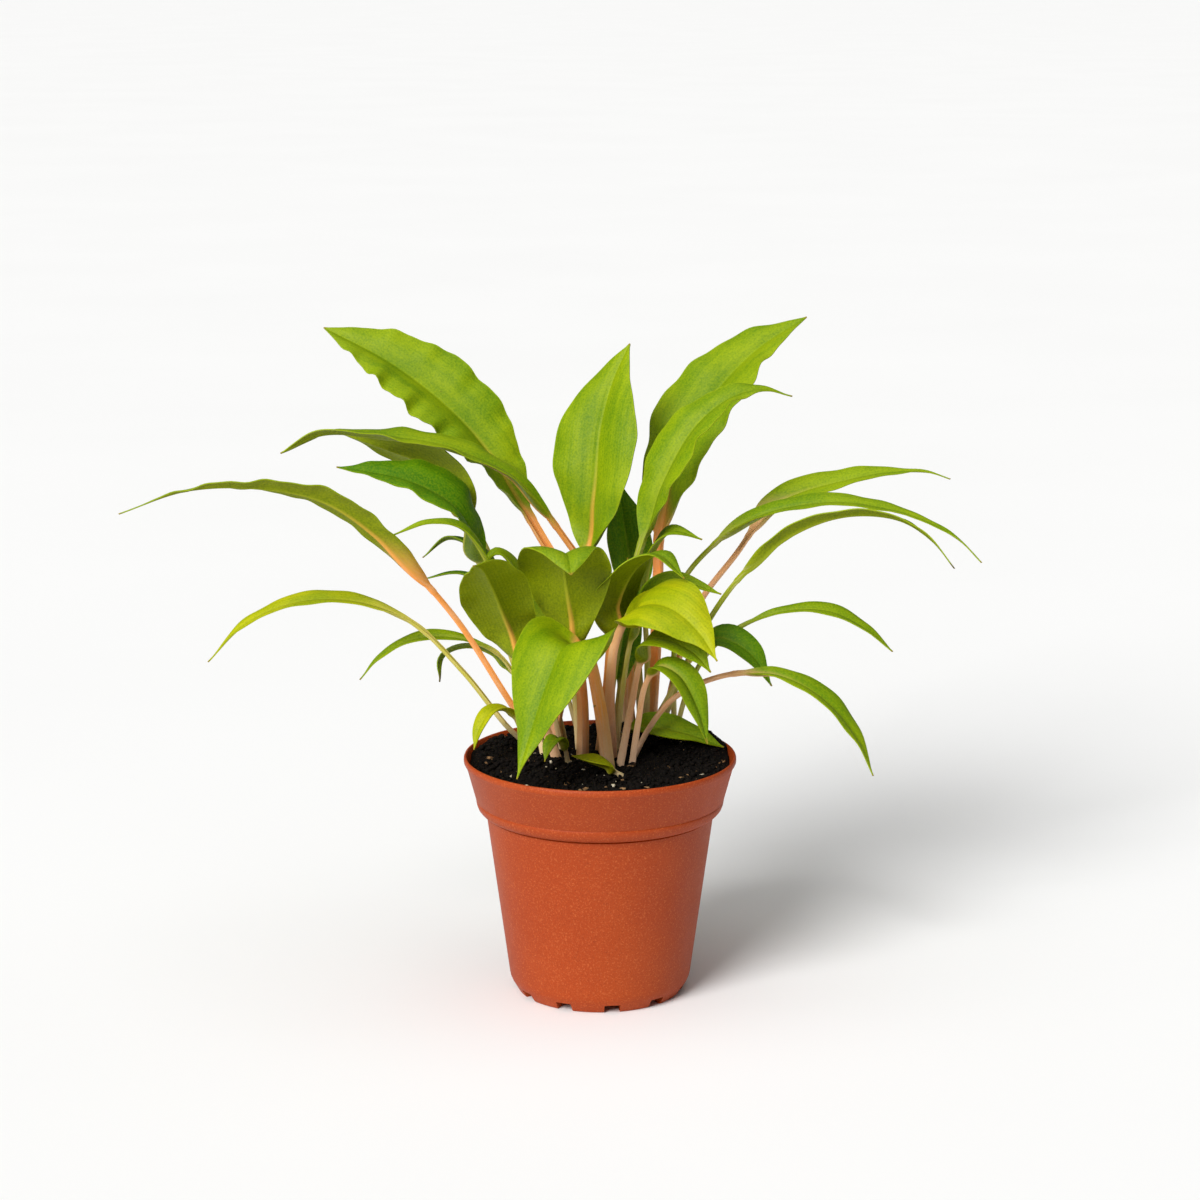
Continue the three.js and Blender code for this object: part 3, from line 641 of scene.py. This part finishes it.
def leaf_material(name, tint, look):
    g = Graph("leaf_" + name)
    upper, patch, under = (linear(*c) for c in TINTS[tint])
    low, high = (linear(*c) for c in STALKS[look.get("stalk", "pale")])
    across = g.attribute("leaf_across")
    run = g.attribute("leaf_run")
    share = g.attribute("leaf_share")
    to_tip = g.attribute("leaf_to_tip")
    is_under = g.attribute("leaf_under")
    off_middle = g.math("ABSOLUTE", across)

    # Long soft streaks run with the veins, with broader patches and a fine grain.
    seed = sum(map(ord, name)) % 17
    drawn_out = g.vector(g.math("MULTIPLY", across, 0.3), g.math("MULTIPLY", run, 0.02), seed)
    streaks = g.noise(1.0, 2, 0.5, drawn_out)
    clouds = g.noise(38, 3, 0.55)
    grain = g.noise(1300, 3, 0.65)
    veins = g.math("SINE", g.math("MULTIPLY", across, 2 * math.pi / 1.3))
    veins = g.math("MULTIPLY_ADD", veins, 0.5, 0.5)

    pale = g.math("ADD", g.math("MULTIPLY", streaks, 0.4), g.math("MULTIPLY", clouds, 0.6))
    face = g.mix(g.steps(pale, 0.36, 0.66), upper, patch)
    face = g.mix(is_under, face, under)
    face = g.mix(g.math("MULTIPLY", veins, 0.03), face, linear(40, 80, 0))
    face = g.mix(g.steps(grain, 0.4, 0.7, 0, 0.2), face, linear(180, 190, 10))
    face = g.mix(g.steps(grain, 0.5, 0.28, 0, 0.3), face, linear(40, 90, 0))
    face = g.mix(g.steps(g.attribute("leaf_edge"), 0.95, 1.0, 0, 0.25), face, linear(180, 196, 30))

    # The midrib is strong underneath and faint on top, and fades towards the tip.
    rib_reach = g.steps(share, 0.0, 0.85, 1.7, 0.4)
    rib = g.steps(off_middle, rib_reach, g.math("MULTIPLY", rib_reach, 0.3), 0, 1)
    rib_tone = g.mix(g.steps(share, 0.05, 0.5), high, linear(166, 172, 40))
    top_rib = look.get("rib", 0.3)
    on_side = g.steps(is_under, 0, 1, top_rib, 0.85)
    rib_strength = g.math("MULTIPLY", g.steps(share, 0.0, 0.9, 1, 0.15), on_side)
    face = g.mix(g.math("MULTIPLY", rib, rib_strength), face, rib_tone)

    # The stalk is palest at its foot, and its colour runs a little way up into the blade.
    foot_run = g.math("ADD", run, g.math("MULTIPLY", clouds, 14))
    stem = g.mix(g.steps(foot_run, 6, 34), low, high)
    stretched = g.vector(g.math("MULTIPLY", across, 1.6), g.math("MULTIPLY", run, 0.05), seed)
    lines = g.noise(2.2, 2, 0.5, stretched)
    stem = g.mix(g.steps(lines, 0.4, 0.75, 0, 0.3), stem, linear(236, 208, 176))
    stem = g.mix(g.steps(grain, 0.45, 0.7, 0, 0.15), stem, linear(190, 106, 46))
    near_blade = g.math("SUBTRACT", share, g.math("MULTIPLY", off_middle, -0.012))
    start = look.get("start", 0.10)
    colour = g.mix(g.steps(near_blade, 0.0, start), stem, face)

    # A small dry tip, and a few marks.
    dry = look.get("dry", 0.8)
    tip = g.steps(g.math("ADD", to_tip, g.math("MULTIPLY", clouds, dry)), dry, 2.4 * dry, 1, 0)
    colour = g.mix(g.math("MULTIPLY", tip, 0.8), colour, linear(*look.get("dry_tone", (150, 124, 40))))
    colour = g.mix(g.steps(g.noise(300, 2, 0.5), 0.74, 0.78, 0, 0.5), colour, linear(80, 74, 16))

    height = g.math("ADD", g.math("MULTIPLY", veins, 0.25), g.math("MULTIPLY", grain, 0.75))
    g.bump(height, 0.00018, 0.7)
    rough = g.math("ADD", 0.44, g.math("MULTIPLY", g.noise(240, 2, 0.5), 0.2))
    return g.finish(colour, rough, 0.15)


# ---- pot ----

RIM_RADIUS = 54.4
BAND_BOTTOM_Z = 74
BAND_BOTTOM_RADIUS = 49.6
BODY_TOP_RADIUS = 45.4
BODY_BOTTOM_RADIUS = 36.6
FOOT_RADIUS = 33.2
FOOT_HEIGHT = 4
PAD_RADIUS = 8
WALL = 1.1
NOTCHES = 11
NOTCH_WIDTH = 6.4
DRAIN_HOLES = 8
DRAIN_HOLE_RADIUS = 3
DRAIN_CIRCLE_RADIUS = 20


# The wall's inner face, from the middle of the floor to the mouth.
POT_INSIDE = [
    (0, FOOT_HEIGHT + WALL),
    (FOOT_RADIUS - 0.6, FOOT_HEIGHT + WALL),
    (BODY_BOTTOM_RADIUS - WALL, 9),
    (BODY_TOP_RADIUS - WALL, BAND_BOTTOM_Z - 0.6),
    (BAND_BOTTOM_RADIUS - WALL - 0.6, BAND_BOTTOM_Z + 4.6),
    (RIM_RADIUS - WALL - 0.5, POT_HEIGHT - 2.5),
]


def pot_profile():
    """The pot's section as (radius, z) points, up the inside, over the rim and down to the foot."""
    outside = [
        (RIM_RADIUS - WALL, POT_HEIGHT - 0.35),
        (RIM_RADIUS - WALL + 0.2, POT_HEIGHT - 0.08),
        (RIM_RADIUS - 0.6, POT_HEIGHT),
        (RIM_RADIUS - 0.25, POT_HEIGHT - 0.2),
        (RIM_RADIUS, POT_HEIGHT - 0.8),
        (RIM_RADIUS + 0.05, POT_HEIGHT - 1.5),
        (RIM_RADIUS, POT_HEIGHT - 2.2),
        (RIM_RADIUS - 0.3, POT_HEIGHT - 2.8),
        (RIM_RADIUS - 0.9, POT_HEIGHT - 3.3),
        (BAND_BOTTOM_RADIUS + 0.12, BAND_BOTTOM_Z + 5.6),
        (BAND_BOTTOM_RADIUS - 0.18, BAND_BOTTOM_Z + 5.3),
        (BAND_BOTTOM_RADIUS + 0.04, BAND_BOTTOM_Z + 4.9),
        (BAND_BOTTOM_RADIUS - 0.2, BAND_BOTTOM_Z + 3.6),
        (BAND_BOTTOM_RADIUS - 0.7, BAND_BOTTOM_Z + 2.2),
        (BAND_BOTTOM_RADIUS - 1.6, BAND_BOTTOM_Z + 1.1),
        (BODY_TOP_RADIUS + 1.7, BAND_BOTTOM_Z + 0.35),
        (BODY_TOP_RADIUS + 1.1, BAND_BOTTOM_Z + 0.3),
        (BODY_TOP_RADIUS - 0.25, BAND_BOTTOM_Z + 0.6),
        (BODY_TOP_RADIUS - 0.35, BAND_BOTTOM_Z - 0.2),
        (BODY_TOP_RADIUS + 0.2, BAND_BOTTOM_Z - 0.7),
        (BODY_TOP_RADIUS + 0.05, BAND_BOTTOM_Z - 1.4),
        (BODY_BOTTOM_RADIUS, 7.5),
        (BODY_BOTTOM_RADIUS - 0.3, 5.9),
        (BODY_BOTTOM_RADIUS - 1, 4.2),
        (FOOT_RADIUS + 1.3, 2.4),
        (FOOT_RADIUS + 0.4, 0.8),
        (FOOT_RADIUS, 0.2),
        (FOOT_RADIUS - 0.4, 0),
        (FOOT_RADIUS - 3.2, 0),
        (FOOT_RADIUS - 4, FOOT_HEIGHT),
        (PAD_RADIUS + 0.6, FOOT_HEIGHT),
        (PAD_RADIUS, 0),
        (0, 0),
    ]
    return POT_INSIDE + outside


def lathe(profile, segments):
    """Vertices and faces of a closed profile turned about Z, with its two ends on the axis."""
    a = np.arange(segments) * 2 * math.pi / segments
    middle = np.array(profile[1:-1])
    r, z = middle[:, :1], middle[:, 1:]
    rings = np.stack([r * np.cos(a), r * np.sin(a), z + 0 * a], -1)
    return skin(rings, (0, 0, profile[0][1]), (0, 0, profile[-1][1]), flip=True)


def cut(target, cutters):
    """Cuts the cutters out of target for good, and removes them."""
    for cutter in cutters:
        modifier = target.modifiers.new("cut", "BOOLEAN")
        modifier.operation = "DIFFERENCE"
        modifier.solver = "EXACT"
        modifier.object = cutter
    evaluated = target.evaluated_get(bpy.context.evaluated_depsgraph_get())
    mesh = bpy.data.meshes.new_from_object(evaluated)
    target.modifiers.clear()
    target.data = mesh
    for cutter in cutters:
        bpy.data.objects.remove(cutter)


def make_pot():
    vertices, faces = lathe(pot_profile(), 264)
    pot = make_object("pot_shell", vertices, faces, pot_material())
    cutters = []
    for i in range(NOTCHES):
        angle = (i + 0.25) * 2 * math.pi / NOTCHES - math.pi / 2
        bpy.ops.mesh.primitive_cube_add(size=1)
        notch = bpy.context.object
        notch.scale = (12 * MM, NOTCH_WIDTH * MM, 2 * (FOOT_HEIGHT - 0.5) * MM)
        notch.rotation_euler = (0, 0, angle)
        notch.location = (FOOT_RADIUS * MM * math.cos(angle), FOOT_RADIUS * MM * math.sin(angle), 0)
        cutters.append(notch)
    for i in range(DRAIN_HOLES):
        angle = i * 2 * math.pi / DRAIN_HOLES
        bpy.ops.mesh.primitive_cylinder_add(vertices=32, radius=DRAIN_HOLE_RADIUS * MM, depth=8 * MM)
        hole = bpy.context.object
        reach = DRAIN_CIRCLE_RADIUS * MM
        hole.location = (reach * math.cos(angle), reach * math.sin(angle), FOOT_HEIGHT * MM)
        cutters.append(hole)
    bpy.context.view_layer.update()
    cut(pot, cutters)
    pot.data.set_sharp_from_angle(angle=math.radians(50))
    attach(pot, "root")
    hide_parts("nursery_pot")


def pot_material():
    g = Graph("pot_plastic")
    clouds = g.noise(18, 4, 0.6)
    grain = g.noise(1400, 3, 0.6)
    speckle = g.noise(3200, 2, 0.5)
    colour = g.mix(g.steps(clouds, 0.35, 0.7), linear(162, 60, 12), linear(170, 68, 18))
    colour = g.mix(g.steps(grain, 0.5, 0.72, 0, 0.4), colour, linear(216, 118, 62))
    colour = g.mix(g.steps(speckle, 0.52, 0.7, 0, 0.5), colour, linear(104, 32, 8))
    height = g.math("ADD", g.math("MULTIPLY", grain, 0.6), g.math("MULTIPLY", speckle, 0.4))
    g.bump(height, 0.00010, 0.5)
    rough = g.math("ADD", 0.46, g.math("MULTIPLY", g.noise(90, 3, 0.6), 0.2))
    return g.finish(colour, rough, 0.25)


# ---- soil ----

def field(x, y, scale, seed, octaves=4):
    """Fractal noise from about -1 to 1 at points x, y, with lumps about scale millimetres across."""
    places = [Vector((a / scale, b / scale, seed)) for a, b in zip(x.ravel(), y.ravel())]
    basis = "PERLIN_ORIGINAL"
    values = [noise.fractal(place, 0.6, 2.1, octaves, noise_basis=basis) for place in places]
    return np.array(values).reshape(x.shape)


SOIL_EDGE_RADIUS = 51.5
SOIL_MOUTH_RADIUS = 52.4  # where the mix would meet the wall at the height of the mouth
BAND_TAPER = 0.308  # how much the inside of the band narrows for each millimetre down


def make_soil():
    """The plug of potting mix: up the wall of the pot and in over a lumpy top."""
    count, segments = ((110, 380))
    a = np.arange(segments) * 2 * math.pi / segments
    # The wall slopes, so the mix reaches further out where it stands higher.
    edge_z = soil_height(SOIL_EDGE_RADIUS * np.cos(a), SOIL_EDGE_RADIUS * np.sin(a))
    reach = SOIL_MOUTH_RADIUS - BAND_TAPER * (POT_HEIGHT - 2.5 - edge_z)
    r = reach * np.linspace(1, 0.004, count)[:, None]
    x, y = r * np.cos(a), r * np.sin(a)
    lumps = 0.55 * field(x, y, 4.5, 1.7)
    lumps = lumps + 0.35 * np.abs(field(x, y, 1.6, 5.2))
    lumps = lumps + 0.9 * field(x, y, 14, 9.1, 3)
    edge = smooth((reach - r) / 3)
    z = soil_height(x, y) + 0.1 + lumps * (0.35 + 0.65 * edge)
    top = np.stack([x, y, z], -1)
    wall = [
        (32.2, 5.5),
        (35.15, 9),
        (43.95, BAND_BOTTOM_Z - 0.6),
        (47.55, BAND_BOTTOM_Z + 4.6),
        (50.65, 89),
    ]
    side = np.stack([np.stack([R * np.cos(a), R * np.sin(a), Z + 0 * a], -1) for R, Z in wall])
    rings = np.concatenate([side, top])
    vertices, faces = skin(rings, (0, 0, wall[0][1]), (0, 0, z[-1].mean()))
    soil = make_object("potting_mix_surface", vertices, faces, soil_material())
    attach(soil, "root")
    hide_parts("potting_mix")


SCATTER_RADIUS = 50


def soil_material():
    g = Graph("potting_mix")
    crumbs = g.noise(700, 5, 0.7)
    flecks = g.noise(1500, 2, 0.5)
    colour = g.mix(g.steps(crumbs, 0.35, 0.75), linear(3, 2, 2), linear(20, 14, 10))
    colour = g.mix(g.steps(flecks, 0.64, 0.70, 0, 0.6), colour, linear(96, 72, 50))
    g.bump(crumbs, 0.0009, 1.0)
    return g.finish(colour, g.math("ADD", 0.7, g.math("MULTIPLY", flecks, 0.3)), 0.12)


def scatter(name, count, sizes, material, seed, sink=0.35, flat=1.0):
    """Many small rough lumps lying on the potting mix, as one piece.

    sizes: the smallest and largest width. sink: how deep they lie. flat: below 1, they are flakes.
    """
    draw = np.random.default_rng(seed)
    ball, ball_faces = icosahedron()
    vertices, faces = [], []
    for number in range(count):
        away = SCATTER_RADIUS * math.sqrt(draw.uniform(0, 1))
        angle = draw.uniform(0, 2 * math.pi)
        x, y = away * math.cos(angle), away * math.sin(angle)
        size = draw.uniform(*sizes) * 0.5
        size = size * (0.6 + 0.8 * draw.random())
        shape = ball * (1 + 0.35 * draw.standard_normal((len(ball), 1)).clip(-1, 1))
        stretch = [draw.uniform(0.7, 1.4), draw.uniform(0.6, 1.1), flat * draw.uniform(0.6, 1.0)]
        shape = shape * size * np.array(stretch)
        spin = rotation(draw.uniform(0, 6.3), draw.uniform(-0.6, 0.6))
        z = float(soil_height(x, y)) + size * flat * (1 - sink)
        vertices.append(shape @ spin.T + (x, y, z))
        faces.extend([[i + number * len(ball) for i in face] for face in ball_faces])
    made = make_object(name, np.vstack(vertices), faces, material)
    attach(made, "root")


def rotation(about_z, tilt):
    """A matrix that tilts about X and then turns about Z, by angles in radians."""
    c, s = math.cos(about_z), math.sin(about_z)
    ct, st = math.cos(tilt), math.sin(tilt)
    return np.array([[c, -s, 0], [s, c, 0], [0, 0, 1]]) @ np.array([[1, 0, 0], [0, ct, -st], [0, st, ct]])


def icosahedron():
    """Its corners, at unit distance from the middle, and its faces."""
    g = (1 + math.sqrt(5)) / 2
    points = [
        (-1, g, 0), (1, g, 0), (-1, -g, 0), (1, -g, 0),
        (0, -1, g), (0, 1, g), (0, -1, -g), (0, 1, -g),
        (g, 0, -1), (g, 0, 1), (-g, 0, -1), (-g, 0, 1),
    ]
    faces = [
        (0, 11, 5), (0, 5, 1), (0, 1, 7), (0, 7, 10), (0, 10, 11),
        (1, 5, 9), (5, 11, 4), (11, 10, 2), (10, 7, 6), (7, 1, 8),
        (3, 9, 4), (3, 4, 2), (3, 2, 6), (3, 6, 8), (3, 8, 9),
        (4, 9, 5), (2, 4, 11), (6, 2, 10), (8, 6, 7), (9, 8, 1),
    ]
    return unit(np.array(points, float)), faces


def crumb_material(name, dark, light):
    g = Graph(name)
    patches = g.noise(900, 3, 0.6)
    colour = g.mix(g.steps(patches, 0.3, 0.75), linear(*dark), linear(*light))
    g.bump(g.noise(2600, 3, 0.6), 0.0002, 0.8)
    return g.finish(colour, g.math("ADD", 0.7, g.math("MULTIPLY", patches, 0.3)), 0.15)


# ---- floor and world ----

FLOOR_REACH = 40000
FLOOR_Z = -0.02  # just under the pot's foot


def make_floor():
    g = Graph("floor")
    tone = g.mix(g.noise(3), linear(243, 243, 242), linear(247, 247, 246))
    corners = [(-1, -1), (1, -1), (1, 1), (-1, 1)]
    vertices = [(x * FLOOR_REACH, y * FLOOR_REACH, FLOOR_Z) for x, y in corners]
    floor = make_object("floor", vertices, [[0, 1, 2, 3]], g.finish(tone, 0.9, 0.1))


def make_world():
    world = bpy.data.worlds.new("studio")
    world.use_nodes = True
    background = world.node_tree.nodes["Background"]
    background.inputs["Color"].default_value = (1, 1, 1, 1)
    background.inputs["Strength"].default_value = 0.15
    bpy.context.scene.world = world


# ---- build ----

make_camera()
make_sun("key", azimuth=-33, elevation=35, strength=3.5, spread=30)
make_sun("top", azimuth=0, elevation=85, strength=0.9, spread=60)
make_world()
bpy.context.scene.view_settings.view_transform = "Standard"
make_floor()

make_pot()
make_soil()
crumbs = crumb_material("soil_crumbs", (4, 3, 2), (24, 17, 12))
scatter("soil_crumbs", 4200, (0.5, 2.0), crumbs, seed=3)
perlite = crumb_material("perlite_bits", (150, 136, 110), (226, 216, 190))
scatter("perlite_bits", 70, (0.5, 1.9), perlite, seed=11, sink=0.3)
bark = crumb_material("bark_bits", (60, 40, 26), (168, 130, 88))
scatter("bark_bits", 90, (0.8, 3.0), bark, seed=23, sink=0.3, flat=0.5)

for leaf_name, leaf in LEAVES.items():
    make_leaf(leaf_name, **leaf)
